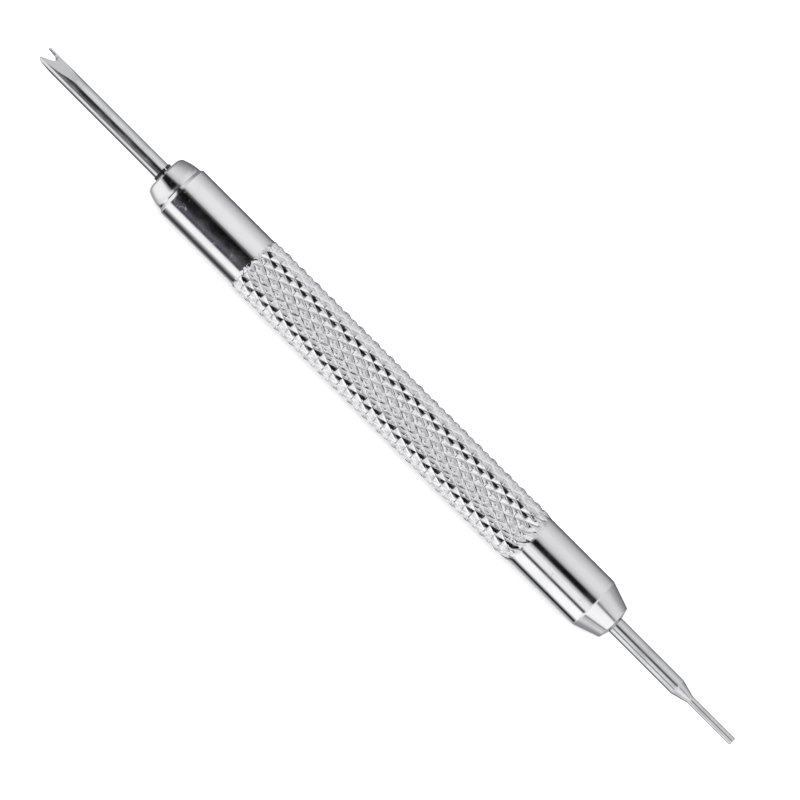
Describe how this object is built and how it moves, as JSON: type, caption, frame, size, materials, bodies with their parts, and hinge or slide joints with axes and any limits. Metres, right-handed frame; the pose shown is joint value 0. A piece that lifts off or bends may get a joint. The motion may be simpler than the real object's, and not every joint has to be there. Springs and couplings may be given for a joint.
{
  "type": "spring bar tool",
  "caption": "Double-ended hand tool with a knurled tubular handle, a forked blade held in a screw-nose collet at one end and a slim push pin at the other.",
  "frame": {"origin": "on the tool's axis, halfway between the fork's tip and the pin's tip", "axes": "X along the tool with the push pin at +X and the fork at -X; +Z square to the ground flats of the fork; +Y across the prongs"},
  "size_m": [0.13, 0.0084, 0.0084],
  "materials": {
    "handle_chrome": "bright chrome plate over turned and knurled steel",
    "collet_steel": "blackened spring steel",
    "tip_steel": "hardened, polished, with ground flats",
    "inner_steel": "plain turned steel, lightly oiled"
  },
  "bodies": {
    "handle": {"handle_barrel": "handle_chrome", "backing_screw": "inner_steel", "spacer_rod": "inner_steel", "pin_collar": "inner_steel", "push_pin": "tip_steel"},
    "collet": {"fork_collet": "collet_steel"},
    "nose": {"fork_nose": "handle_chrome"},
    "fork": {"fork_blade": "tip_steel"}
  },
  "joints": [
    {"name": "collet_travel", "type": "slide", "parent": "handle", "child": "collet", "axis": [-1, 0, 0], "range_m": [0, 0.0055]},
    {"name": "nose_spin", "type": "hinge", "parent": "collet", "child": "nose", "pos_m": [-0.0393, 0, 0], "axis": [-1, 0, 0], "range_deg": [0, 3960]},
    {"name": "fork_pull", "type": "slide", "parent": "collet", "child": "fork", "axis": [-1, 0, 0], "range_m": [0, 0.017]}
  ],
  "couplings": [
    {"joint": "nose_spin", "follows": "collet_travel", "rad_per_m": 12566}
  ]
}
